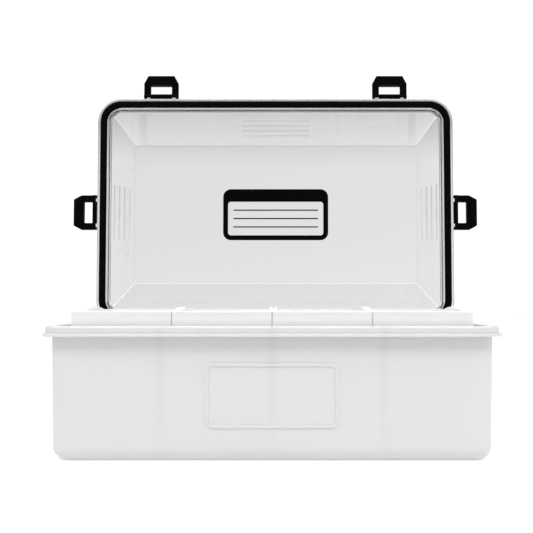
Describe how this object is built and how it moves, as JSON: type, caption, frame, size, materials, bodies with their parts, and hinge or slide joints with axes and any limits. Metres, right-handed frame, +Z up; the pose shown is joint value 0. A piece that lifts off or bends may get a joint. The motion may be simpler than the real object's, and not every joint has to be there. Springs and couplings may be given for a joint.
{
  "type": "tackle box",
  "caption": "Tackle box: a white moulded base that holds lift-out inner tubs, with a clear domed lid on rear hinges, sealed by a black gasket and shut by black hook latches.",
  "frame": {"origin": "middle of the base's flat underside", "axes": "+X to the right, +Y from the front to the hinged back, +Z up"},
  "size_m": [0.3506, 0.2516, 0.3043],
  "materials": {
    "white_polypropylene": "satin",
    "white_tub_polypropylene": "satin",
    "clear_polystyrene": "gloss",
    "black_rubber": "matte",
    "black_nylon": "satin",
    "steel": "brushed"
  },
  "bodies": {
    "base": {"base_shell": "white_polypropylene", "hinge_screws": "steel", "hinge_bracket_left": "white_polypropylene", "hinge_pin_left": "steel", "hinge_bracket_right": "white_polypropylene", "hinge_pin_right": "steel"},
    "lid": {"lid_shell": "clear_polystyrene", "lid_gasket": "black_rubber", "latch_pin_front_left": "steel", "latch_pin_front_right": "steel", "latch_pin_side_left": "steel", "latch_pin_side_right": "steel"},
    "front_left_latch": {"latch_front_left": "black_nylon"},
    "front_right_latch": {"latch_front_right": "black_nylon"},
    "side_left_latch": {"latch_side_left": "black_nylon"},
    "side_right_latch": {"latch_side_right": "black_nylon"},
    "tub_1": {"inner_tub_1": "white_tub_polypropylene"},
    "tub_2": {"inner_tub_2": "white_tub_polypropylene"},
    "tub_3": {"inner_tub_3": "white_tub_polypropylene"},
    "tub_4": {"inner_tub_4": "white_tub_polypropylene"}
  },
  "joints": [
    {"name": "lid_hinge", "type": "hinge", "parent": "base", "child": "lid", "pos_m": [0, 0.1031, 0.0837], "axis": [-1, 0, 0], "range_deg": [-93.65, 0]},
    {"name": "front_left_latch_swing", "type": "hinge", "parent": "lid", "child": "front_left_latch", "pos_m": [-0.0998, 0.12442, 0.28605], "axis": [-1, 0, 0], "range_deg": [-90, 0]},
    {"name": "front_right_latch_swing", "type": "hinge", "parent": "lid", "child": "front_right_latch", "pos_m": [0.0998, 0.12442, 0.28605], "axis": [-1, 0, 0], "range_deg": [-90, 0]},
    {"name": "side_left_latch_swing", "type": "hinge", "parent": "lid", "child": "side_left_latch", "pos_m": [-0.157, 0.11791, 0.18396], "axis": [0, -0.0637, -0.998], "range_deg": [-90, 0]},
    {"name": "side_right_latch_swing", "type": "hinge", "parent": "lid", "child": "side_right_latch", "pos_m": [0.157, 0.11791, 0.18396], "axis": [0, 0.0637, 0.998], "range_deg": [-90, 0]},
    {"name": "tub_1_lift", "type": "slide", "parent": "base", "child": "tub_1", "axis": [0, 0, 1], "range_m": [0, 0.095]},
    {"name": "tub_2_lift", "type": "slide", "parent": "base", "child": "tub_2", "axis": [0, 0, 1], "range_m": [0, 0.095]},
    {"name": "tub_3_lift", "type": "slide", "parent": "base", "child": "tub_3", "axis": [0, 0, 1], "range_m": [0, 0.095]},
    {"name": "tub_4_lift", "type": "slide", "parent": "base", "child": "tub_4", "axis": [0, 0, 1], "range_m": [0, 0.095]}
  ]
}
